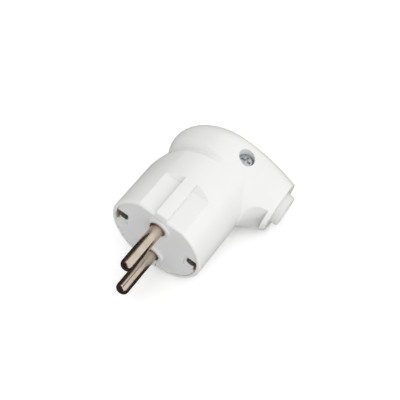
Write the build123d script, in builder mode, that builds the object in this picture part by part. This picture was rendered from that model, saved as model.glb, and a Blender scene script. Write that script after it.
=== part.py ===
"""Right-angle rewirable mains plug: two round pins, earth pockets and a side cable entry.

Plug frame while modelling: +X towards the cable entry, +Y from the pin face to the back,
+Z along the line of the pins. The origin is the centre of the pin face. The finished pieces
are turned about Y so that the plug lies on its side, on the cap rim and the end of the arm.
"""
import os
from math import asin, atan2, cos, degrees, hypot, radians, sin, sqrt, tan

from build123d import *

# Pins and their pillar terminals
pin_diameter = 4.8
pin_length = 19.0
pin_spacing = 19.0
pin_tip_round = 1.9
pin_shank_diameter = 6.0
pin_shank_proud = 0.2
pin_flange_diameter = 8.2
pin_flange_thickness = 1.2
terminal_width = 6.4
terminal_length = 10.5
terminal_edge = 0.5
wire_hole_diameter = 3.2
wire_hole_setback = 5.6
terminal_screw_diameter = 3.0
terminal_screw_length = 3.6
terminal_screw_proud = 0.5

# Barrel that enters the socket, with a rib along each of its two flats
barrel_radius = 18.5
barrel_length = 28.3
barrel_edge = 0.9
rim_proud = 0.3
flat_height = 16.2
flat_length = 15.0
flat_ramp = 1.0
rib_width = 4.5

# Cap behind the barrel: its back slants up towards the arm, and a finger waist lies in front of it
cap_radius = 18.55
cap_back = 46.1
cap_slant = 11.5
cap_round = 7.0
waist_depth = 3.4
waist_shift = 3.0
waist_tilt = 6.2
waist_width = 10.7
waist_floor = 2.9
waist_lead = 9.0
waist_drop = 1.5
waist_wall_slope = 0.9
waist_sweep = 220.0

# Arm with the cable entry
arm_reach = 27.1
arm_end_radius = 9.8
arm_end_axis = 39.0
arm_root_front = 16.0
arm_crown = 1.6
arm_inset = 0.15
lip_thickness = 1.8
scoop_start = 22.9
scoop_end = 31.1
scoop_middle_radius = 21.2
scoop_middle_depth = 27.9
scoop_sweep = 160.0

# Shells
seam_gap = 0.12
shell_wall = 2.2
seat_wall = 1.4
seat_flat_wall = 1.6
seat_slack = 0.4
chamber_shift = 1.5
chamber_radius = 14.4
chamber_round = 5.0
room_front = 31.6
room_root_half = 13.4
room_end_half = 7.6
room_round = 4.0
end_wall = 4.6

# Pin carrier that closes the mouth of the barrel
fit_clearance = 0.1
carrier_thickness = 8.0
key_height = 0.6
key_width = 2.0
key_setback = 3.0
pin_boss_diameter = 9.0
pin_boss_height = 0.8
pin_boss_draft = 15.0
barrier_thickness = 1.2
barrier_height = 7.0
barrier_offset = 4.7
barrier_length = 16.0

# Earth pockets in the carrier and the earth strip
pocket_margin = 0.7
pocket_width = 7.0
pocket_depth = 0.9
pocket_hole_length = 3.4
pocket_hole_width = 4.2
pocket_hole_round = 1.4
pocket_hole_depth = 6.2
strip_thickness = 0.8
strip_width = 5.4
strip_bend = 1.2
strip_setback = 0.5
earth_collar_diameter = 6.0
earth_collar_height = 2.0
earth_screw_diameter = 3.5
earth_screw_length = 6.0
earth_screw_room = 0.5
earth_head_diameter = 6.4
earth_head_height = 2.2
earth_washer_size = 7.0
earth_washer_corner = 1.0
earth_washer_thickness = 1.0

# Housing screw and its captive nut
screw_x = 9.2
screw_setback = 7.6
screw_diameter = 3.0
screw_head_diameter = 5.4
screw_head_height = 2.2
screw_head_level = 11.7
screw_end = 0.5
screw_pocket_diameter = 6.0
screw_boss_diameter = 8.4
nut_across_flats = 5.5
nut_thickness = 2.4
nut_level = 11.7

# Heads, drive slots and points of the screws
slot_width = 0.9
slot_depth = 1.0
cross_length = 3.8
head_round = 0.6
screw_point = 0.35

# Cord clamp
clamp_setback = 4.3
clamp_width = 5.0
clamp_thickness = 2.4
clamp_length = 13.6
clamp_corner = 1.6
clamp_level = 2.4
clamp_screw_spacing = 9.6
clamp_groove_radius = 3.6
clamp_groove_depth = 0.9
clamp_screw_diameter = 2.2
clamp_head_diameter = 3.8
clamp_head_height = 1.6
clamp_screw_length = 8.0
clamp_boss_diameter = 4.0
saddle_thickness = 2.4
saddle_level = 3.4

# Cable bush
bush_radius = 6.1
bush_projection = 2.7
bush_bore_radius = 3.75
bush_flange_radius = 7.4
bush_flange_thickness = 1.4
bush_flange_setback = 1.6
bush_inner_length = 1.2
bush_edge = 0.5

# Resting attitude: the tangent from the end of the arm to the cap rim lies on the table
rest_tilt = degrees(
    asin(cap_radius / hypot(arm_reach, arm_end_radius)) - atan2(arm_end_radius, arm_reach)
)
rest = Location((0, 0, 0), (0, rest_tilt, 0))

# Places worked out from the driving dimensions
pin_z = pin_spacing / 2
seat_radius = barrel_radius - seat_wall
seat_flat = flat_height - seat_flat_wall
carrier_radius = seat_radius - fit_clearance
carrier_flat = seat_flat - fit_clearance
strip_outer = sqrt(carrier_radius**2 - (strip_width / 2) ** 2) - fit_clearance
strip_inner = strip_outer - strip_thickness
strip_back = carrier_thickness + strip_thickness
seat_floor = strip_back + seat_slack
terminal_back = carrier_thickness + terminal_length
terminal_screw_y = terminal_back - wire_hole_setback
back_rise = tan(radians(cap_slant))
back_plane = Plane(origin=(0, cap_back, 0), x_dir=(0, 0, -1), z_dir=(-back_rise, 1, 0))
waist_place = Location((waist_shift, barrel_length, 0), (0, 0, waist_tilt))
waist_lean = tan(radians(waist_tilt))
chamber_back = cap_back - shell_wall - (chamber_radius - chamber_shift) * back_rise
room_root_back = cap_back - shell_wall
room_end_back = arm_end_axis + arm_end_radius - shell_wall
screw_y = cap_back - screw_setback
arm_slope = asin((cap_radius - arm_end_radius) / arm_reach)
arm_start = cap_radius * sin(arm_slope)
arm_length = arm_reach - arm_start
lip_start = arm_reach - lip_thickness
end_wall_start = arm_reach - end_wall
clamp_x = end_wall_start - clamp_setback
bush_flange_end = arm_reach - bush_flange_setback
bush_flange_start = bush_flange_end - bush_flange_thickness
clamp_screw_places = [(clamp_x, arm_end_axis + s * clamp_screw_spacing / 2) for s in (1, -1)]
thread_gap = fit_clearance / 2


def across(y):
    """Plane square to the barrel at the depth y: local x is X and local y is Z."""
    return Plane(origin=(0, y, 0), x_dir=(1, 0, 0), z_dir=(0, -1, 0))


def along_arm(x):
    """Plane square to the arm at x: local x is Y and local y is Z."""
    return Plane(origin=(x, 0, 0), x_dir=(0, 1, 0), z_dir=(1, 0, 0))


def radial(angle):
    """Plane through the Y axis, turned from +X towards +Z."""
    turn = radians(angle)
    return Plane(origin=(0, 0, 0), x_dir=(cos(turn), 0, sin(turn)), z_dir=(-sin(turn), 0, cos(turn)))


def eased(root, slope, end):
    """Half-way point of a line that leaves the root at the slope and bends to the end of the arm."""
    return (root * 3 + end + slope * arm_length) / 4


def flatted_circle(radius, flat):
    """Circle with two flats at the ends of the pin line, in the active sketch."""
    Circle(radius)
    Rectangle(2 * radius, 2 * flat, mode=Mode.INTERSECT)


def pan_screw(name, seat, diameter, length, head_diameter, head_height, slots, slot_length):
    """Pan-head screw: the head stands on the seat plane and the shank goes down from it."""
    outward = Axis(seat.origin, seat.z_dir)
    with BuildPart(seat) as screw:
        Cylinder(head_diameter / 2, head_height, align=(Align.CENTER, Align.CENTER, Align.MIN))
        fillet(screw.edges().sort_by(outward)[-1], head_round)
        Cylinder(diameter / 2, length, align=(Align.CENTER, Align.CENTER, Align.MAX))
        chamfer(screw.edges().sort_by(outward)[0], screw_point)
        with Locations((0, 0, head_height)):
            with PolarLocations(0, slots, angular_range=180):
                Box(slot_length, slot_width, 2 * slot_depth, mode=Mode.SUBTRACT)
    screw.part.label = name
    return screw


# Outer form of the housing before it is split into its two shells
with BuildPart() as scoop:
    with BuildSketch(radial(scoop_sweep / 2)):
        with BuildLine():
            ThreePointArc(
                (barrel_radius, scoop_start),
                (scoop_middle_radius, scoop_middle_depth),
                (arm_reach, scoop_end),
            )
            Polyline(
                (arm_reach, scoop_end),
                (2 * arm_reach, scoop_end),
                (2 * arm_reach, 0),
                (seat_radius, 0),
                (seat_radius, scoop_start),
                (barrel_radius, scoop_start),
            )
        make_face()
    revolve(axis=Axis.Y, revolution_arc=scoop_sweep)
    split(bisect_by=Plane.YZ.offset(lip_start), keep=Keep.BOTTOM)

with BuildPart() as arm_form:
    # Four points of each half section: back edge, shoulder, widest side and front edge
    diagonal = sqrt(0.5)
    end_diagonal = arm_end_radius * diagonal
    end_points = (
        Vector(arm_end_axis + arm_end_radius, arm_crown),
        Vector(arm_end_axis + end_diagonal, end_diagonal),
        Vector(arm_end_axis, arm_end_radius),
        Vector(arm_end_axis - arm_end_radius, arm_crown),
    )
    root_half = sqrt(cap_radius**2 - arm_start**2) - arm_inset
    round_half = sqrt((cap_radius - cap_round) ** 2 - arm_start**2)
    root_back = cap_back + arm_start * back_rise - arm_inset
    root_centre = root_back - cap_round
    root_points = (
        Vector(root_back, round_half),
        Vector(root_centre + cap_round * diagonal, round_half + (root_half - round_half) * diagonal),
        Vector(root_centre, root_half),
        Vector(arm_root_front, arm_crown),
    )
    straight = [(end - root) / arm_length for root, end in zip(root_points, end_points)]
    root_slopes = (
        Vector(back_rise, straight[0].Y),
        Vector(back_rise, straight[1].Y),
        straight[2],
        straight[3],
    )
    middle_points = [eased(*line) for line in zip(root_points, root_slopes, end_points)]
    stations = (arm_start, arm_start + arm_length / 2, arm_reach)
    for station, points in zip(stations, (root_points, middle_points, end_points)):
        back_edge, shoulder, side_edge, front_edge = points
        with BuildSketch(along_arm(station)):
            with BuildLine():
                ThreePointArc(back_edge, shoulder, side_edge)
                TangentArc(side_edge, front_edge, tangent=(-1, 0))
                Polyline(front_edge, (front_edge.X, 0), (back_edge.X, 0), back_edge)
            make_face()
    loft()
    mirror(about=Plane.XY)
    add(scoop.part, mode=Mode.SUBTRACT)

# Waist in its own frame: the axis is Y, and a curved run-in leads to the wall at the origin
with BuildPart() as waist:
    with BuildSketch(radial(180 + waist_sweep / 2)):
        with BuildLine():
            groove = cap_radius + waist_shift - waist_depth
            outside = cap_radius + waist_shift + waist_depth
            level = cos(radians(waist_tilt))
            lead_rim = (barrel_radius + waist_shift) / level + waist_lead * waist_lean
            wall_top = (barrel_radius + waist_shift) / level - waist_drop
            end_rim = (cap_radius + waist_shift) / level - waist_width * waist_lean
            TangentArc((lead_rim, -waist_lead), (wall_top, 0), tangent=(-waist_lean, 1))
            Polyline((wall_top, 0), (groove, waist_wall_slope), (groove, waist_floor))
            TangentArc((end_rim, waist_width), (groove, waist_floor), tangent=(waist_lean, -1))
            Polyline(
                (end_rim, waist_width),
                (outside, waist_width),
                (outside, -waist_lead),
                (lead_rim, -waist_lead),
            )
        make_face()
    revolve(axis=Axis.Y, revolution_arc=waist_sweep)

# Cuts beside the ribs: a flat with a rounded front edge and a ramp at its far end
with BuildPart() as flats:
    with BuildSketch(Plane.YZ.offset(rib_width / 2)):
        with BuildLine():
            flat_front = barrel_edge - rim_proud
            flat_rise = barrel_radius - flat_height + barrel_edge
            RadiusArc((-rim_proud, flat_height - barrel_edge), (flat_front, flat_height), barrel_edge)
            Polyline(
                (flat_front, flat_height),
                (flat_length, flat_height),
                (flat_length + flat_ramp * flat_rise, flat_height + flat_rise),
                (-flat_front - rim_proud, flat_height + flat_rise),
                (-flat_front - rim_proud, flat_height - barrel_edge),
                (-rim_proud, flat_height - barrel_edge),
            )
        make_face()
    extrude(amount=barrel_radius)
    mirror(about=Plane.YZ)
    mirror(about=Plane.XY)

with BuildPart() as outer_form:
    with BuildSketch(Plane.XY):
        with BuildLine():
            rim_edge = barrel_radius - barrel_edge
            beyond = cap_back + cap_radius
            Line((0, -rim_proud), (rim_edge, -rim_proud))
            RadiusArc((rim_edge, -rim_proud), (barrel_radius, barrel_edge - rim_proud), -barrel_edge)
            Polyline(
                (barrel_radius, barrel_edge - rim_proud),
                (barrel_radius, barrel_length),
                (cap_radius, barrel_length + waist_floor),
                (cap_radius, beyond),
                (0, beyond),
                (0, -rim_proud),
            )
        make_face()
    revolve(axis=Axis.Y)
    split(bisect_by=back_plane, keep=Keep.BOTTOM)
    fillet(outer_form.faces().sort_by(Axis.Y)[-1].edges(), cap_round)
    add(flats.part, mode=Mode.SUBTRACT)
    with Locations(waist_place):
        add(waist.part, mode=Mode.SUBTRACT)
    add(arm_form.part)

# Hollow of the housing: carrier seat, key groove, terminal chamber, arm room and bush seat
with BuildPart() as cavity:
    with BuildSketch(across(-rim_proud)):
        flatted_circle(seat_radius, seat_flat)
    extrude(amount=-seat_floor - rim_proud)
    with BuildSketch(across(key_setback - fit_clearance)):
        flatted_circle(seat_radius + key_height, seat_flat + key_height)
    extrude(amount=-key_width - 2 * fit_clearance)
    with BuildSketch(across(seat_floor)):
        with Locations((chamber_shift, 0)):
            Circle(chamber_radius)
    extrude(amount=seat_floor - chamber_back)
    fillet(cavity.faces().sort_by(Axis.Y)[-1].edges(), chamber_round)
    with BuildSketch(along_arm(chamber_shift)):
        with Locations(((room_front + room_root_back) / 2, 0)):
            RectangleRounded(room_root_back - room_front, 2 * room_root_half, room_round)
    with BuildSketch(along_arm(end_wall_start)):
        with Locations(((room_front + room_end_back) / 2, 0)):
            RectangleRounded(room_end_back - room_front, 2 * room_end_half, room_round)
    loft(ruled=True)
    with BuildSketch(along_arm(end_wall_start)):
        with Locations((arm_end_axis, 0)):
            Circle(bush_radius + fit_clearance)
    extrude(amount=end_wall)
    with BuildSketch(along_arm(bush_flange_start - fit_clearance)):
        with Locations((arm_end_axis, 0)):
            Circle(bush_flange_radius + fit_clearance)
    extrude(amount=bush_flange_thickness + 2 * fit_clearance)

with BuildPart() as screw_post:
    with Locations((screw_x, screw_y, 0)):
        Cylinder(screw_boss_diameter / 2, 2 * cap_radius)
    add(outer_form.part, mode=Mode.INTERSECT)

with BuildPart() as upper_shell:
    add(outer_form.part)
    add(cavity.part, mode=Mode.SUBTRACT)
    add(screw_post.part)
    with Locations((screw_x, screw_y, screw_head_level)):
        Cylinder(
            screw_pocket_diameter / 2,
            cap_radius,
            align=(Align.CENTER, Align.CENTER, Align.MIN),
            mode=Mode.SUBTRACT,
        )
        Cylinder(screw_diameter / 2 + fit_clearance, 2 * cap_radius, mode=Mode.SUBTRACT)
    split(bisect_by=Plane.XY.offset(seam_gap / 2), keep=Keep.TOP)
upper_shell.part.label = "upper_shell"

with BuildPart() as lower_shell:
    add(outer_form.part)
    add(cavity.part, mode=Mode.SUBTRACT)
    add(screw_post.part)
    with BuildSketch(Plane.XY.offset(-nut_level)):
        with Locations((screw_x, screw_y)):
            RegularPolygon(nut_across_flats / 2 + fit_clearance, 6, major_radius=False)
    extrude(amount=-cap_radius, mode=Mode.SUBTRACT)
    with Locations((screw_x, screw_y, -nut_level)):
        Cylinder(screw_diameter / 2 + fit_clearance, 2 * cap_radius, mode=Mode.SUBTRACT)
    split(bisect_by=Plane.XY.offset(-seam_gap / 2), keep=Keep.BOTTOM)
    with BuildSketch(Plane.XY.offset(clamp_level)):
        with Locations(*clamp_screw_places):
            Circle(clamp_boss_diameter / 2)
    extrude(amount=-clamp_level - room_end_half - shell_wall / 2)
    with BuildSketch(Plane.XY.offset(-saddle_level)):
        with Locations((clamp_x, arm_end_axis)):
            Rectangle(saddle_thickness, clamp_screw_spacing)
    extrude(amount=saddle_level - room_end_half - shell_wall / 2)
    with BuildSketch(Plane.XY.offset(clamp_level)):
        with Locations(*clamp_screw_places):
            Circle(clamp_screw_diameter / 2 + thread_gap)
    extrude(amount=-clamp_screw_length, mode=Mode.SUBTRACT)
lower_shell.part.label = "lower_shell"

# Pin carrier with its pin bosses, earth pockets and terminal barriers
with BuildPart() as pin_carrier:
    with BuildSketch(across(0)):
        flatted_circle(carrier_radius, carrier_flat)
    extrude(amount=-carrier_thickness)
    with BuildSketch(across(key_setback)):
        flatted_circle(carrier_radius + key_height, carrier_flat + key_height)
    extrude(amount=-key_width)
    with BuildSketch(across(0)):
        with GridLocations(0, pin_spacing, 1, 2):
            Circle(pin_boss_diameter / 2)
    extrude(amount=pin_boss_height, taper=pin_boss_draft)
    with BuildSketch(across(carrier_thickness)):
        with GridLocations(0, 2 * barrier_offset, 1, 2):
            Rectangle(barrier_length, barrier_thickness)
    extrude(amount=-barrier_height)
    with BuildSketch(across(-pin_boss_height)):
        with GridLocations(0, pin_spacing, 1, 2):
            Circle(pin_shank_diameter / 2 + fit_clearance)
    extrude(amount=-carrier_thickness - pin_boss_height, mode=Mode.SUBTRACT)
    with BuildSketch(across(carrier_thickness)):
        with GridLocations(0, pin_spacing, 1, 2):
            Circle(pin_flange_diameter / 2 + fit_clearance)
    extrude(amount=pin_flange_thickness, mode=Mode.SUBTRACT)
    pocket_inner = strip_inner - pocket_hole_length - pocket_margin
    for side in (1, -1):
        with BuildSketch(across(0)):
            with Locations((side * (pocket_inner + barrel_radius) / 2, 0)):
                Rectangle(barrel_radius - pocket_inner, pocket_width)
        extrude(amount=-pocket_depth, mode=Mode.SUBTRACT)
        with BuildSketch(across(0)):
            with Locations((side * (strip_inner - pocket_hole_length / 2), 0)):
                RectangleRounded(pocket_hole_length, pocket_hole_width, pocket_hole_round)
        extrude(amount=-pocket_hole_depth, mode=Mode.SUBTRACT)
        with BuildSketch(across(0)):
            with Locations((side * (strip_inner - fit_clearance + barrel_radius) / 2, 0)):
                Rectangle(barrel_radius - strip_inner + fit_clearance, strip_width + 2 * fit_clearance)
        extrude(amount=-carrier_thickness, mode=Mode.SUBTRACT)
        with BuildSketch(across(carrier_thickness)):
            with Locations((side * (strip_inner - strip_bend + barrel_radius) / 2, 0)):
                Rectangle(barrel_radius - strip_inner + strip_bend, strip_width + 2 * fit_clearance)
        extrude(amount=strip_bend, mode=Mode.SUBTRACT)
    with BuildSketch(across(carrier_thickness)):
        Circle(earth_collar_diameter / 2 + fit_clearance)
    extrude(amount=earth_collar_height + fit_clearance, mode=Mode.SUBTRACT)
    with BuildSketch(across(carrier_thickness)):
        Circle(earth_screw_diameter / 2 + fit_clearance)
    extrude(amount=earth_screw_length, mode=Mode.SUBTRACT)
pin_carrier.part.label = "pin_carrier"


def turned_pin(name, side):
    """Turned pin with its flange and square pillar terminal, on the given side of the centre."""
    with BuildPart() as pin:
        with BuildSketch(across(0)):
            with Locations((0, side * pin_z)):
                Circle(pin_diameter / 2)
        extrude(amount=rim_proud + pin_length)
        fillet(pin.faces().sort_by(Axis.Y)[0].edges(), pin_tip_round)
        with BuildSketch(across(carrier_thickness)):
            with Locations((0, side * pin_z)):
                Circle(pin_shank_diameter / 2)
        extrude(amount=carrier_thickness + pin_boss_height + pin_shank_proud)
        with BuildSketch(across(carrier_thickness)):
            with Locations((0, side * pin_z)):
                Circle(pin_flange_diameter / 2)
        extrude(amount=pin_flange_thickness)
        with BuildSketch(across(carrier_thickness)):
            with Locations((0, side * pin_z)):
                Rectangle(terminal_width, terminal_width)
        extrude(amount=-terminal_length)
        chamfer(pin.faces().sort_by(Axis.Y)[-1].edges(), terminal_edge)
        with Locations(Location((0, terminal_screw_y, side * pin_z), (0, 90, 0))):
            Cylinder(wire_hole_diameter / 2, 2 * terminal_width, mode=Mode.SUBTRACT)
        with Locations((0, terminal_screw_y, side * (pin_z + terminal_width / 2))):
            Cylinder(terminal_screw_diameter / 2 + thread_gap, terminal_width, mode=Mode.SUBTRACT)
    pin.part.label = name
    return pin


def terminal_screw(name, side):
    """Headless clamping screw of a pillar terminal, slotted at its outer end."""
    outer = pin_z + terminal_width / 2 + terminal_screw_proud
    with BuildPart() as grub:
        with Locations((0, terminal_screw_y, outer)):
            Cylinder(
                terminal_screw_diameter / 2,
                terminal_screw_length,
                align=(Align.CENTER, Align.CENTER, Align.MAX),
            )
            Box(terminal_screw_diameter, slot_width, 2 * slot_depth, mode=Mode.SUBTRACT)
        if side < 0:
            mirror(about=Plane.XY, mode=Mode.REPLACE)
    grub.part.label = name
    return grub


line_pin = turned_pin("line_pin", 1)
neutral_pin = turned_pin("neutral_pin", -1)
line_terminal_screw = terminal_screw("line_terminal_screw", 1)
neutral_terminal_screw = terminal_screw("neutral_terminal_screw", -1)

# Earth strip: a bridge across the back of the carrier with a leg in each pocket
with BuildPart() as earth_strip:
    with BuildSketch(Plane.XY):
        with BuildLine():
            leg = strip_outer - strip_thickness / 2
            leg_front = strip_setback
            bridge = carrier_thickness + strip_thickness / 2
            FilletPolyline(
                (-leg, leg_front), (-leg, bridge), (leg, bridge), (leg, leg_front), radius=strip_bend
            )
        trace(line_width=strip_thickness)
    extrude(amount=strip_width / 2, both=True)
    with BuildSketch(across(carrier_thickness)):
        Circle(earth_collar_diameter / 2)
    extrude(amount=earth_collar_height)
    with BuildSketch(across(strip_back)):
        Circle(earth_screw_diameter / 2 + thread_gap)
    extrude(amount=strip_back, mode=Mode.SUBTRACT)
earth_strip.part.label = "earth_strip"

with BuildPart() as earth_washer:
    with BuildSketch(across(strip_back)):
        RectangleRounded(earth_washer_size, earth_washer_size, earth_washer_corner)
        Circle(earth_screw_diameter / 2 + fit_clearance, mode=Mode.SUBTRACT)
    extrude(amount=-earth_washer_thickness)
earth_washer.part.label = "earth_washer"

earth_screw = pan_screw(
    "earth_screw",
    Plane(origin=(0, strip_back + earth_washer_thickness, 0), x_dir=(1, 0, 0), z_dir=(0, 1, 0)),
    earth_screw_diameter,
    earth_screw_length - earth_screw_room,
    earth_head_diameter,
    earth_head_height,
    1,
    earth_head_diameter,
)

# Housing screw through both shells into the captive nut
housing_screw = pan_screw(
    "housing_screw",
    Plane(origin=(screw_x, screw_y, screw_head_level)),
    screw_diameter,
    screw_head_level + nut_level + nut_thickness + screw_end,
    screw_head_diameter,
    screw_head_height,
    2,
    cross_length,
)

with BuildPart() as housing_nut:
    with BuildSketch(Plane.XY.offset(-nut_level)):
        with Locations((screw_x, screw_y)):
            RegularPolygon(nut_across_flats / 2, 6, major_radius=False)
            Circle(screw_diameter / 2 + thread_gap, mode=Mode.SUBTRACT)
    extrude(amount=-nut_thickness)
housing_nut.part.label = "housing_nut"

# Cord clamp: a grooved bar over the cable, held by two screws
with BuildPart() as cord_clamp:
    with BuildSketch(Plane.XY.offset(clamp_level)):
        with Locations((clamp_x, arm_end_axis)):
            RectangleRounded(clamp_width, clamp_length, clamp_corner)
        with Locations(*clamp_screw_places):
            Circle(clamp_screw_diameter / 2 + fit_clearance, mode=Mode.SUBTRACT)
    extrude(amount=clamp_thickness)
    with BuildSketch(along_arm(clamp_x - clamp_width)):
        with Locations((arm_end_axis, clamp_level + clamp_groove_depth - clamp_groove_radius)):
            Circle(clamp_groove_radius)
    extrude(amount=2 * clamp_width, mode=Mode.SUBTRACT)
cord_clamp.part.label = "cord_clamp"


def clamp_screw(name, place):
    """Screw at one end of the clamp bar."""
    return pan_screw(
        name,
        Plane(origin=(*place, clamp_level + clamp_thickness)),
        clamp_screw_diameter,
        clamp_thickness + clamp_screw_length - screw_end,
        clamp_head_diameter,
        clamp_head_height,
        1,
        clamp_head_diameter,
    )


clamp_screw_rear = clamp_screw("clamp_screw_rear", clamp_screw_places[0])
clamp_screw_front = clamp_screw("clamp_screw_front", clamp_screw_places[1])

# Cable bush, turned about the axis of the arm
with BuildPart() as cable_bush:
    with BuildSketch(Plane.XY):
        with BuildLine():
            bush_end = arm_reach + bush_projection
            bush_start = end_wall_start - bush_inner_length
            Polyline(
                (bush_start, arm_end_axis + bush_bore_radius),
                (bush_end - bush_edge, arm_end_axis + bush_bore_radius),
                (bush_end, arm_end_axis + bush_bore_radius + bush_edge),
                (bush_end, arm_end_axis + bush_radius - bush_edge),
                (bush_end - bush_edge, arm_end_axis + bush_radius),
                (bush_flange_end, arm_end_axis + bush_radius),
                (bush_flange_end, arm_end_axis + bush_flange_radius),
                (bush_flange_start, arm_end_axis + bush_flange_radius),
                (bush_flange_start, arm_end_axis + bush_radius),
                (bush_start, arm_end_axis + bush_radius),
                close=True,
            )
        make_face()
    revolve(axis=Axis((0, arm_end_axis, 0), (1, 0, 0)))
cable_bush.part.label = "cable_bush"

os.makedirs("parts", exist_ok=True)
for piece in (
    upper_shell,
    lower_shell,
    pin_carrier,
    line_pin,
    neutral_pin,
    line_terminal_screw,
    neutral_terminal_screw,
    earth_strip,
    earth_washer,
    earth_screw,
    housing_screw,
    housing_nut,
    cord_clamp,
    clamp_screw_rear,
    clamp_screw_front,
    cable_bush,
):
    piece.part.locate(rest)
    export_step(piece.part, f"parts/{piece.part.label}.step")
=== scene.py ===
"""Dresses the right-angle mains plug: white moulded shells, nickel pins and bright screws.

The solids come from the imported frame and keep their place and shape, and two thin sleeves are added
in the earth pockets. Every finish is worked out from Object coordinates, in metres, in the frame of
the plug at rest on its side.
"""

import logging
import math
from dataclasses import dataclass
from enum import Enum
from functools import cache

import bmesh
import bpy
import numpy as np
from mathutils import Matrix, Vector


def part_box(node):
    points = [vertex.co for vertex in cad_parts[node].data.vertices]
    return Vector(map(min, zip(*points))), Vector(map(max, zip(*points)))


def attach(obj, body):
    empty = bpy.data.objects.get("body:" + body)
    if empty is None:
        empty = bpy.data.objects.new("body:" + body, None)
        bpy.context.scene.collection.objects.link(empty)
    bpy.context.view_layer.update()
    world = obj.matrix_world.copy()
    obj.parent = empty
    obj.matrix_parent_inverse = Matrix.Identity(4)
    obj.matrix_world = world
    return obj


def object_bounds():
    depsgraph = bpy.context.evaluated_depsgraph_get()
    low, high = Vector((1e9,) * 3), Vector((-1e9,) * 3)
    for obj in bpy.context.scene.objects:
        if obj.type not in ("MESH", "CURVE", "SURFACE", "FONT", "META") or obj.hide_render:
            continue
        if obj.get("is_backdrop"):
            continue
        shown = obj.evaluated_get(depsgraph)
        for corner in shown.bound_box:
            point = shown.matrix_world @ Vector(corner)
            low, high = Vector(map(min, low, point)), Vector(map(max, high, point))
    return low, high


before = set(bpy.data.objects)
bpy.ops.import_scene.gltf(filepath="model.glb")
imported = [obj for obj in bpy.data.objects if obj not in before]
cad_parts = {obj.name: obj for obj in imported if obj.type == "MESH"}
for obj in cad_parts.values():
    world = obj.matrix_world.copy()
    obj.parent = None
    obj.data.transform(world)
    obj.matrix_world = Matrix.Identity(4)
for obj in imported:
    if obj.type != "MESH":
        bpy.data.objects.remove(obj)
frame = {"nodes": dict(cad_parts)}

LOG = logging.getLogger("plug")
BODY = "root"

# Rays that show a surface to the camera, straight or by way of a reflection.
VIEW_RAYS = ("Is Camera Ray", "Is Glossy Ray", "Is Transmission Ray")
WHITE = (1.0, 1.0, 1.0, 1.0)
# Most of a noise field lies between these two values.
NOISE_WEAK = 0.3
NOISE_STRONG = 0.7
EDGE_SAMPLES = 6

Triple = tuple[float, float, float]
Socket = bpy.types.NodeSocket


class Grain(Enum):
    """How the fine marks of a finish run: the stretch of their pattern along X, Y and Z."""

    EVEN = (1.0, 1.0, 1.0)
    TURNED_ABOUT_Y = (0.08, 1.0, 0.08)


class Axis(Enum):
    """An axis of the plug at rest."""

    PINS = "Y"
    UP = "Z"


class Merge(Enum):
    """How two values become one."""

    SUM = "ADD"
    LARGER = "MAXIMUM"


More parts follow.
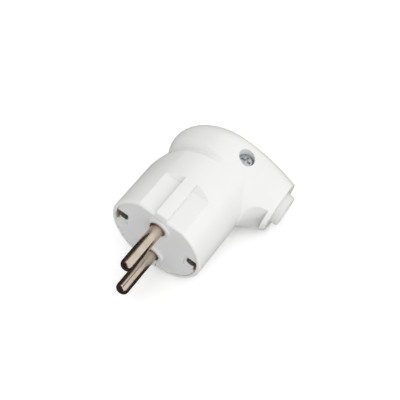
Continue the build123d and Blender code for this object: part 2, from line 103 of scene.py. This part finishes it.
class Shader:
    """A node tree with short calls to add and join its nodes."""

    def __init__(self, tree: bpy.types.NodeTree) -> None:
        """Start by emptying the node tree of a material or a world."""
        self.tree = tree
        self.tree.nodes.clear()

    def add(self, kind: str, **values: object) -> bpy.types.Node:
        """Add one node and set its sockets and properties.

        Args:
            kind: Blender's name of the node type.
            **values: Socket values by their names with underscores for spaces, or properties.

        Returns:
            The new node.
        """
        node = self.tree.nodes.new(kind)
        for name, value in values.items():
            socket = name.replace("_", " ")
            if socket in node.inputs:
                node.inputs[socket].default_value = value
            else:
                setattr(node, name, value)
        return node

    def join(self, source: Socket, target: Socket) -> None:
        """Link an output to an input."""
        self.tree.links.new(source, target)

    def place(self, grain: Grain) -> Socket:
        """Give the point on the piece, stretched along each axis.

        Args:
            grain: The stretch along X, Y and Z.

        Returns:
            The stretched point.
        """
        point = self.add("ShaderNodeTexCoord")
        mapping = self.add("ShaderNodeMapping", Scale=grain.value)
        self.join(point.outputs["Object"], mapping.inputs["Vector"])
        return mapping.outputs["Vector"]

    def noise(self, point: Socket, size: float, detail: float) -> Socket:
        """Add a noise field.

        Args:
            point: The point to read it at.
            size: Width of one blotch, in metres.
            detail: Number of finer octaves.

        Returns:
            The noise, around a half.
        """
        cloud = self.add("ShaderNodeTexNoise", Scale=1.0 / size, Detail=detail)
        self.join(point, cloud.inputs["Vector"])
        return cloud.outputs["Fac"]

    def spread(self, noise: Socket, low: float, high: float) -> Socket:
        """Map a noise from its usual range to low and high.

        Args:
            noise: The noise.
            low: Result where the noise is weak.
            high: Result where the noise is strong.

        Returns:
            The mapped value.
        """
        ranged = self.add("ShaderNodeMapRange", From_Min=NOISE_WEAK, From_Max=NOISE_STRONG)
        ranged.inputs["To Min"].default_value = low
        ranged.inputs["To Max"].default_value = high
        self.join(noise, ranged.inputs["Value"])
        return ranged.outputs["Result"]

    def between(self, share: Socket, first: Triple, second: Triple) -> Socket:
        """Mix two colours.

        Args:
            share: Nought for the first colour, one for the second.
            first: First colour.
            second: Second colour.

        Returns:
            The mixed colour.
        """
        mix = self.add("ShaderNodeMix", data_type="RGBA")
        first_socket, second_socket = (s for s in mix.inputs if s.type == "RGBA")
        first_socket.default_value = (*first, 1.0)
        second_socket.default_value = (*second, 1.0)
        self.join(share, mix.inputs["Factor"])
        return next(s for s in mix.outputs if s.type == "RGBA")

    def relief(self, height: Socket, depth: float, edge: float) -> Socket:
        """Turn a height field into a normal, over edges that are slightly rounded.

        Args:
            height: The height, from nought to one.
            depth: Height of one unit, in metres.
            edge: Radius of the edges, in metres.

        Returns:
            The normal.
        """
        soft_edge = self.add("ShaderNodeBevel", samples=EDGE_SAMPLES, Radius=edge)
        bump = self.add("ShaderNodeBump", Strength=1.0, Distance=depth)
        self.join(height, bump.inputs["Height"])
        self.join(soft_edge.outputs["Normal"], bump.inputs["Normal"])
        return bump.outputs["Normal"]

    def ramp(self, axis: Axis, start: float, end: float) -> Socket:
        """Give nought at the start and one at the end of a stretch along an axis of the plug.

        Args:
            axis: The axis.
            start: Place on the axis where the ramp starts, in metres.
            end: Place where it ends.

        Returns:
            The ramp.
        """
        point = self.add("ShaderNodeSeparateXYZ")
        ramp = self.add("ShaderNodeMapRange", From_Min=start, From_Max=end)
        self.join(self.place(Grain.EVEN), point.inputs["Vector"])
        self.join(point.outputs[axis.value], ramp.inputs["Value"])
        return ramp.outputs["Result"]

    def scaled(self, value: Socket, factor: float) -> Socket:
        """Multiply a value by a factor.

        Args:
            value: The value.
            factor: The factor.

        Returns:
            The product.
        """
        node = self.add("ShaderNodeMath", operation="MULTIPLY")
        self.join(value, node.inputs[0])
        node.inputs[1].default_value = factor
        return node.outputs["Value"]

    def combine(self, merge: Merge, first: Socket, second: Socket) -> Socket:
        """Combine two values.

        Args:
            merge: How they become one.
            first: First value.
            second: Second value.

        Returns:
            The result.
        """
        node = self.add("ShaderNodeMath", operation=merge.value)
        self.join(first, node.inputs[0])
        self.join(second, node.inputs[1])
        return node.outputs["Value"]

    def seen(self, *rays: str) -> Socket:
        """Give one for the kinds of ray that are named, and nought for light.

        Args:
            *rays: Outputs of the light path, such as Is Camera Ray.

        Returns:
            The largest of them.
        """
        path = self.add("ShaderNodeLightPath")
        level = path.outputs[rays[0]]
        for ray in rays[1:]:
            level = self.combine(Merge.LARGER, level, path.outputs[ray])
        return level

    def close(self, surface: Socket, output: str = "ShaderNodeOutputMaterial") -> None:
        """Link the surface to the tree's output."""
        self.join(surface, self.add(output).inputs["Surface"])


def new_material(name: str) -> tuple[bpy.types.Material, Shader]:
    """Make a material with an empty node tree.

    Args:
        name: Name of the material.

    Returns:
        The material and the shader that fills it.
    """
    material = bpy.data.materials.new(name)
    material.use_nodes = True
    return material, Shader(material.node_tree)


@dataclass(frozen=True)
class MouldedPlastic:
    """Moulded plastic: faint mottling, uneven gloss and the gentle waviness of a mould's wall.

    Light spreads a little way into it, by the glow and its depth. All lengths are in metres.
    """

    name: str
    colour: Triple
    shade: Triple
    gloss_roughness: float
    dull_roughness: float
    specular: float = 0.5
    glow: float = 0.35
    glow_depth: float = 0.0008
    glow_tint: Triple = (1.0, 1.0, 1.0)
    cloud_octaves: float = 2.0
    wave_octaves: float = 1.0
    mottle_size: float = 0.012
    gloss_size: float = 0.006
    wave_size: float = 0.003
    wave_depth: float = 0.000004
    edge_radius: float = 0.00018

    def material(self) -> bpy.types.Material:
        """Build the material.

        Returns:
            The material.
        """
        material, shader = new_material(self.name)
        point = shader.place(Grain.EVEN)
        surface = shader.add(
            "ShaderNodeBsdfPrincipled",
            Specular_IOR_Level=self.specular,
            Subsurface_Weight=self.glow,
            Subsurface_Scale=self.glow_depth,
            Subsurface_Radius=self.glow_tint,
        )
        mottle = shader.spread(shader.noise(point, self.mottle_size, self.cloud_octaves), 0.0, 1.0)
        shader.join(shader.between(mottle, self.colour, self.shade), surface.inputs["Base Color"])
        gloss = shader.noise(point, self.gloss_size, self.cloud_octaves)
        roughness = shader.spread(gloss, self.gloss_roughness, self.dull_roughness)
        shader.join(roughness, surface.inputs["Roughness"])
        wave = shader.noise(point, self.wave_size, self.wave_octaves)
        normal = shader.relief(wave, self.wave_depth, self.edge_radius)
        shader.join(normal, surface.inputs["Normal"])
        shader.close(surface.outputs["BSDF"])
        return material


@dataclass(frozen=True)
class PlatedMetal:
    """Plated metal: slight stains in the plate, uneven polish and fine tool marks.

    Where a root dulling is given, the plate turns darker, browner and duller over the stretch from
    root_start to root_end along the pins, up to their root at the face. All lengths are in metres.
    """

    name: str
    colour: Triple
    dark_tone: Triple
    gloss_roughness: float
    dull_roughness: float
    grain: Grain = Grain.EVEN
    cloud_octaves: float = 3.0
    mark_octaves: float = 1.0
    stain_size: float = 0.004
    polish_size: float = 0.0015
    mark_size: float = 0.00025
    mark_depth: float = 0.000002
    edge_radius: float = 0.00012
    root_start: float = 0.0
    root_end: float = 0.0
    root_dulling: float = 0.0

    def material(self) -> bpy.types.Material:
        """Build the material.

        Returns:
            The material.
        """
        material, shader = new_material(self.name)
        point = shader.place(Grain.EVEN)
        surface = shader.add("ShaderNodeBsdfPrincipled", Metallic=1.0)
        dark_tone = shader.spread(shader.noise(point, self.stain_size, self.cloud_octaves), 0.0, 1.0)
        polish = shader.noise(point, self.polish_size, self.cloud_octaves)
        roughness = shader.spread(polish, self.gloss_roughness, self.dull_roughness)
        # The pins turn to the darker tone and grow duller towards their root at the face.
        if self.root_dulling:
            root = shader.ramp(Axis.PINS, self.root_start, self.root_end)
            dark_tone = shader.combine(Merge.LARGER, dark_tone, root)
            dulling = shader.scaled(root, self.root_dulling)
            roughness = shader.combine(Merge.SUM, roughness, dulling)
        shader.join(shader.between(dark_tone, self.colour, self.dark_tone), surface.inputs["Base Color"])
        shader.join(roughness, surface.inputs["Roughness"])
        marks = shader.noise(shader.place(self.grain), self.mark_size, self.mark_octaves)
        normal = shader.relief(marks, self.mark_depth, self.edge_radius)
        shader.join(normal, surface.inputs["Normal"])
        shader.close(surface.outputs["BSDF"])
        return material


Finish = MouldedPlastic | PlatedMetal

SHELL_WHITE = MouldedPlastic(
    "shell_white",
    colour=(0.84, 0.84, 0.83),
    shade=(0.825, 0.825, 0.815),
    gloss_roughness=0.30,
    dull_roughness=0.36,
    edge_radius=0.0003,
)
CARRIER_WHITE = MouldedPlastic(
    "carrier_white",
    colour=(0.81, 0.815, 0.81),
    shade=(0.785, 0.79, 0.79),
    gloss_roughness=0.28,
    dull_roughness=0.36,
)
CLAMP_GREY = MouldedPlastic(
    "clamp_grey",
    colour=(0.40, 0.40, 0.41),
    shade=(0.36, 0.36, 0.37),
    gloss_roughness=0.40,
    dull_roughness=0.50,
)
BUSH_WHITE = MouldedPlastic(
    "bush_white",
    colour=(0.78, 0.78, 0.77),
    shade=(0.75, 0.75, 0.735),
    gloss_roughness=0.42,
    dull_roughness=0.55,
    wave_depth=0.00001,
)
PIN_NICKEL = PlatedMetal(
    "pin_nickel",
    colour=(0.67, 0.59, 0.515),
    dark_tone=(0.58, 0.485, 0.37),
    gloss_roughness=0.16,
    dull_roughness=0.24,
    grain=Grain.TURNED_ABOUT_Y,
    root_start=-0.006,
    root_end=0.0,
    root_dulling=0.4,
)
STRIP_NICKEL = PlatedMetal(
    "strip_nickel",
    colour=(0.70, 0.67, 0.62),
    dark_tone=(0.60, 0.56, 0.50),
    gloss_roughness=0.42,
    dull_roughness=0.56,
)
SLEEVE_TIN = PlatedMetal(
    "sleeve_tin",
    colour=(0.66, 0.64, 0.61),
    dark_tone=(0.56, 0.54, 0.51),
    gloss_roughness=0.65,
    dull_roughness=0.80,
)
BRIGHT_ZINC = PlatedMetal(
    "bright_zinc",
    colour=(0.62, 0.65, 0.67),
    dark_tone=(0.50, 0.53, 0.55),
    gloss_roughness=0.18,
    dull_roughness=0.34,
)


def node_points(name: str) -> np.ndarray:
    """Give the vertices of a solid.

    Args:
        name: Name of the solid.

    Returns:
        Array of points by X, Y and Z, in metres.
    """
    vertices = frame["nodes"][name].data.vertices
    flat = np.empty(len(vertices) * 3)
    vertices.foreach_get("co", flat)
    return flat.reshape(-1, 3)


def linked(name: str, data: bpy.types.ID) -> bpy.types.Object:
    """Make an object of some data and put it into the scene.

    Args:
        name: Name of the object.
        data: Its mesh, lamp or camera.

    Returns:
        The object.
    """
    thing = bpy.data.objects.new(name, data)
    bpy.context.scene.collection.objects.link(thing)
    return thing


def corner_grid(points: np.ndarray) -> np.ndarray:
    """Number the points of a grid, row by row."""
    return np.arange(points.shape[0] * points.shape[1]).reshape(points.shape[:2])


def quads(left: np.ndarray, right: np.ndarray) -> list[list[int]]:
    """Join columns of corner numbers to those on their right by quads, from each row to the next."""
    return np.stack([left[:-1], right[:-1], right[1:], left[1:]], axis=-1).reshape(-1, 4).tolist()


def mesh_object(name: str, points: np.ndarray, faces: list[list[int]]) -> bpy.types.Object:
    """Make a mesh object from a grid of points.

    Args:
        name: Name of the object.
        points: Array of rows, columns and X, Y, Z.
        faces: Corner numbers of each face.

    Returns:
        The object.
    """
    mesh = bpy.data.meshes.new(name)
    mesh.from_pydata(points.reshape(-1, 3).tolist(), [], faces)
    return linked(name, mesh)


def closed_piece(name: str, rings: np.ndarray) -> bpy.types.Object:
    """Make a closed piece from rings of points, and let it ride on the plug.

    Each ring is joined to the next by a band of quads, and the first and the last are filled.

    Args:
        name: Name of the piece.
        rings: Array of rings, points round the ring, and X, Y, Z.

    Returns:
        The piece.
    """
    corner = corner_grid(rings)
    ends = [corner[0].tolist(), corner[-1].tolist()]
    bands = quads(corner, np.roll(corner, -1, axis=1))
    piece = mesh_object(name, rings, bands + ends)
    shape = bmesh.new()
    shape.from_mesh(piece.data)
    bmesh.ops.recalc_face_normals(shape, faces=shape.faces)
    shape.to_mesh(piece.data)
    shape.free()
    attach(piece, BODY)
    return piece


@cache
def finish_material(finish: Finish) -> bpy.types.Material:
    """Give the material of a finish, built once."""
    return finish.material()


@dataclass
class SubAssembly:
    """Pieces of the plug that are dressed together."""

    smooth_angle: float = math.radians(28.0)
    weld_distance: float = 0.000002

    def build(self) -> list[bpy.types.Object]:
        """Make the pieces that the solids lack; most sub-assemblies have none."""
        return []

    def finishes(self) -> dict[str, Finish]:
        """Name each piece of the sub-assembly with its finish."""
        raise NotImplementedError

    def dress(self) -> None:
        """Build what the solids lack, give each piece its finish and smooth its curved faces."""
        pieces = frame["nodes"] | {piece.name: piece for piece in self.build()}
        for name, finish in self.finishes().items():
            piece = pieces[name]
            piece.data.materials.clear()
            piece.data.materials.append(finish_material(finish))
            self.smooth(piece)
            LOG.info("%s: %s", name, finish.name)

    def smooth(self, piece: bpy.types.Object) -> None:
        """Join the loose triangles and split them again at edges sharper than the smooth angle.

        Args:
            piece: The piece.
        """
        piece.data.polygons.foreach_set("use_smooth", [True] * len(piece.data.polygons))
        weld = piece.modifiers.new("weld", "WELD")
        weld.merge_threshold = self.weld_distance
        edges = piece.modifiers.new("edges", "EDGE_SPLIT")
        edges.split_angle = self.smooth_angle


@dataclass
class Housing(SubAssembly):
    """The two shells and the carrier in their mouth."""

    shell: MouldedPlastic = SHELL_WHITE
    carrier: MouldedPlastic = CARRIER_WHITE

    def finishes(self) -> dict[str, Finish]:
        """Name each piece of the housing with its finish."""
        return {"upper_shell": self.shell, "lower_shell": self.shell, "pin_carrier": self.carrier}


@dataclass
class Contacts(SubAssembly):
    """Pins with their pillar terminals, and the earth strip with a drawn sleeve in each pocket.

    A sleeve stands in the hole of its pocket, against the strip's leg. Its length lies along the
    line from pocket to pocket, its width along the line of the pins, and its depth into the plug.
    """

    pin: PlatedMetal = PIN_NICKEL
    strip: PlatedMetal = STRIP_NICKEL
    sleeve: PlatedMetal = SLEEVE_TIN
    screw: PlatedMetal = BRIGHT_ZINC
    strip_thickness: float = 0.0008
    sleeve_length: float = 0.0033
    sleeve_width: float = 0.0041
    sleeve_corner: float = 0.00135
    sleeve_wall: float = 0.00025
    sleeve_slack: float = 0.00005
    sleeve_mouth: float = 0.0009
    sleeve_floor: float = 0.006
    sleeve_points: int = 64
    sleeve_slot: str = "nickel"
    sleeve_sides: tuple[tuple[str, float], ...] = (
        ("earth_sleeve_arm", 1.0),
        ("earth_sleeve_far", -1.0),
    )

    def build(self) -> list[bpy.types.Object]:
        """Make the sleeve of each earth pocket.

        Returns:
            The sleeves.
        """
        inward = np.array([0.0, 1.0, 0.0])
        pin_line = np.array(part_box("line_pin")[0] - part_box("neutral_pin")[0])
        pin_line /= np.linalg.norm(pin_line)
        sideways = np.cross(inward, pin_line)
        reach = np.max(node_points("earth_strip") @ sideways) - self.strip_thickness - self.sleeve_slack
        middle = reach - self.sleeve_length / 2
        axes = np.stack([sideways, inward, pin_line])
        return [
            closed_piece(name, self.sleeve_rings(side * middle) @ axes)
            for name, side in self.sleeve_sides
        ]

    def sleeve_rings(self, middle: float) -> np.ndarray:
        """Work out a drawn cup with a rounded rectangular outline and a rounded lip.

        At the angle a the outline is (l sign(cos a) + r cos a, w sign(sin a) + r sin a), where r is
        the corner's radius and l and w reach its centre. The profile goes up the outer wall, over
        the lip and down the inner wall, and r shrinks by the way that it has gone inwards.

        Args:
            middle: Place of the sleeve's middle on the line from pocket to pocket.

        Returns:
            Array of rings, points round the ring, and length, depth, width.
        """
        wall, mouth, floor = self.sleeve_wall, self.sleeve_mouth, self.sleeve_floor
        inset = np.array([0.0, 0.0, wall / 2, wall, wall])[:, None]
        depth = np.array([floor, mouth + wall / 2, mouth, mouth + wall / 2, floor - wall])[:, None]
        angle = (np.arange(self.sleeve_points) + 0.5) * (2 * np.pi / self.sleeve_points)
        radius = self.sleeve_corner - inset
        length = (self.sleeve_length / 2 - self.sleeve_corner) * np.sign(np.cos(angle))
        width = (self.sleeve_width / 2 - self.sleeve_corner) * np.sign(np.sin(angle))
        along = middle + length + radius * np.cos(angle)
        across = width + radius * np.sin(angle)
        return np.stack([along, np.broadcast_to(depth, along.shape), across], axis=-1)

    def finishes(self) -> dict[str, Finish]:
        """Name each contact piece with its finish.

        Returns:
            Finish of each piece by its name.
        """
        sleeves = {name: self.sleeve for name, _ in self.sleeve_sides}
        return sleeves | {
            "line_pin": self.pin,
            "neutral_pin": self.pin,
            "line_terminal_screw": self.screw,
            "neutral_terminal_screw": self.screw,
            "earth_strip": self.strip,
            "earth_washer": self.screw,
            "earth_screw": self.screw,
        }


@dataclass
class Fastening(SubAssembly):
    """The screw and the captive nut that hold the shells."""

    steel: PlatedMetal = BRIGHT_ZINC

    def finishes(self) -> dict[str, Finish]:
        """Name the screw and the nut with their finish."""
        return {"housing_screw": self.steel, "housing_nut": self.steel}


@dataclass
class CordEntry(SubAssembly):
    """The bush in the end of the arm and the cord clamp behind it."""

    bush: MouldedPlastic = BUSH_WHITE
    clamp: MouldedPlastic = CLAMP_GREY
    screw: PlatedMetal = BRIGHT_ZINC

    def finishes(self) -> dict[str, Finish]:
        """Name each piece of the cord entry with its finish.

        Returns:
            Finish of each piece by its name.
        """
        return {
            "cable_bush": self.bush,
            "cord_clamp": self.clamp,
            "clamp_screw_rear": self.screw,
            "clamp_screw_front": self.screw,
        }


@dataclass
class Camera:
    """The photograph's viewpoint, with angles in degrees and lengths in metres."""

    azimuth: float = 42.998
    elevation: float = 48.627
    roll: float = 11.470
    distance: float = 0.2918
    aim: Triple = (0.007535, 0.017864, 0.006981)
    lens: float = 76.47
    sensor: float = 36.0

    def pose(self) -> Matrix:
        """Work out where the camera stands and how it is turned.

        Returns:
            Matrix whose columns are its right, its top, the way back from the aim, and its place.
        """
        turn = math.radians(self.azimuth)
        rise = math.radians(self.elevation)
        level = Vector((math.cos(turn), math.sin(turn), 0.0))
        outward = Vector((math.sin(turn), -math.cos(turn), 0.0))
        back = outward * math.cos(rise) + Vector((0.0, 0.0, math.sin(rise)))
        right = Matrix.Rotation(math.radians(-self.roll), 3, back) @ level
        pose = Matrix((right, back.cross(right), back)).transposed().to_4x4()
        pose.translation = Vector(self.aim) + back * self.distance
        return pose

    def build(self) -> None:
        """Make the camera and set it as the scene's own."""
        data = bpy.data.cameras.new("camera")
        data.lens = self.lens
        data.sensor_width = self.sensor
        camera = linked("camera", data)
        camera.matrix_world = self.pose()
        bpy.context.scene.camera = camera


@dataclass
class Studio:
    """White floor and world, one soft key lamp, and a dark flag that only reflections show."""

    floor_half: float = 2.0
    floor_colour: Triple = (0.80, 0.80, 0.80)
    floor_seen: Triple = (1.25, 1.25, 1.25)
    ambient: float = 0.80
    key_direction: Triple = (0.8, -0.25, 0.6)
    key_distance: float = 1.0
    key_size: float = 1.3
    key_watts: float = 4.5
    flag_colour: Triple = (0.045, 0.036, 0.028)
    flag_lift: float = 0.0003
    flag_radius: float = 0.16
    flag_height: float = 0.60
    flag_fade: float = 0.26
    flag_start: float = math.radians(-20.0)
    flag_end: float = math.radians(165.0)
    flag_slope: float = math.radians(10.0)
    flag_columns: int = 73

    def build(self, ground: float) -> None:
        """Make the floor, the world, the lamp and the flag.

        Args:
            ground: Height of the floor.
        """
        self.floor(ground)
        self.world()
        self.key()
        self.flag(ground)
        bpy.context.scene.view_settings.view_transform = "Standard"

    def stage_piece(
        self, name: str, points: np.ndarray, material: bpy.types.Material
    ) -> bpy.types.Object:
        """Make a stage surface from a grid of points.

        Args:
            name: Name of the surface.
            points: Array of rows, columns and X, Y, Z.
            material: Its material.

        Returns:
            The object.
        """
        corner = corner_grid(points)
        piece = mesh_object(name, points, quads(corner[:, :-1], corner[:, 1:]))
        piece.data.materials.append(material)
        piece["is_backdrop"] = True
        return piece

    def floor(self, ground: float) -> None:
        """Lay the floor; the camera sees it white up to the shadow close to the plug.

        Args:
            ground: Height of the floor.
        """
        material, shader = new_material("floor_white")
        matt = shader.add("ShaderNodeBsdfDiffuse")
        colour = shader.between(shader.seen(*VIEW_RAYS), self.floor_colour, self.floor_seen)
        shader.join(colour, matt.inputs["Color"])
        shader.close(matt.outputs["BSDF"])
        ends = np.array([-self.floor_half, self.floor_half])
        across, along = np.meshgrid(ends, ends)
        points = np.stack([across, along, np.full_like(across, ground)], axis=-1)
        self.stage_piece("floor", points, material)

    def world(self) -> None:
        """Light the scene evenly; the camera and reflections see plain white."""
        world = bpy.data.worlds.new("studio")
        bpy.context.scene.world = world
        world.use_nodes = True
        shader = Shader(world.node_tree)
        seen = shader.seen(*VIEW_RAYS)
        level = shader.add("ShaderNodeMapRange", To_Min=self.ambient, To_Max=1.0)
        light = shader.add("ShaderNodeBackground", Color=WHITE)
        shader.join(seen, level.inputs["Value"])
        shader.join(level.outputs["Result"], light.inputs["Strength"])
        shader.close(light.outputs["Background"], "ShaderNodeOutputWorld")

    def key(self) -> None:
        """Hang a square soft lamp that faces the plug."""
        data = bpy.data.lights.new("key", "AREA")
        data.size = self.key_size
        data.energy = self.key_watts
        lamp = linked("key", data)
        away = Vector(self.key_direction).normalized()
        lamp.location = away * self.key_distance
        lamp.rotation_mode = "QUATERNION"
        lamp.rotation_quaternion = away.to_track_quat("Z", "Y")
        lamp.visible_glossy = False

    def flag(self, ground: float) -> None:
        """Stand a curved dark flag before and beside the pins, seen only by reflections.

        Args:
            ground: Height of the floor.
        """
        flag = self.stage_piece("flag", self.flag_points(ground), self.flag_cloth(ground))
        flag.visible_camera = False
        flag.visible_diffuse = False
        flag.visible_transmission = False
        flag.visible_shadow = False

    def flag_cloth(self, ground: float) -> bpy.types.Material:
        """Make the dark cloth of the flag, which fades upwards.

        Args:
            ground: Height of the floor.

        Returns:
            The material.
        """
        material, shader = new_material("flag_dark")
        matt = shader.add("ShaderNodeBsdfDiffuse", Color=(*self.flag_colour, 1.0))
        clear = shader.add("ShaderNodeBsdfTransparent")
        cloth = shader.add("ShaderNodeMixShader")
        fade = shader.ramp(Axis.UP, ground + self.flag_fade, ground + self.flag_height)
        shader.join(fade, cloth.inputs[0])
        shader.join(matt.outputs["BSDF"], cloth.inputs[1])
        shader.join(clear.outputs["BSDF"], cloth.inputs[2])
        shader.close(cloth.outputs["Shader"])
        return material

    def flag_points(self, ground: float) -> np.ndarray:
        """Work out the flag: its profile runs out along the floor and up at the radius.

        Carried round by the angle a from the front, a profile point at the radius r and the height h
        is (-r sin a, -r cos a, h). From its start to its end the flag has its full height, and over
        the slope it falls to the floor.

        Args:
            ground: Height of the floor.

        Returns:
            Array of profile points, columns and X, Y, Z.
        """
        middle = (self.flag_start + self.flag_end) / 2
        angles = middle + np.linspace(-np.pi, np.pi, self.flag_columns)
        turn, radius = np.meshgrid(angles, [0.0, self.flag_radius, self.flag_radius])
        past_end = np.abs(turn - middle) - (self.flag_end - self.flag_start) / 2
        rise = self.flag_height * np.clip(1 - past_end / self.flag_slope, 0, 1)
        height = ground + self.flag_lift + rise * np.array([[0], [0], [1]])
        return np.stack([-radius * np.sin(turn), -radius * np.cos(turn), height], axis=-1)


def main() -> None:
    """Dress the plug, light it and work out its bounds before and after."""
    logging.basicConfig(level=logging.INFO)
    low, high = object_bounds()
    for assembly in (Housing(), Contacts(), Fastening(), CordEntry()):
        assembly.dress()
    Studio().build(low.z)
    Camera().build()
    low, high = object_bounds()


if __name__ == "__main__":
    main()
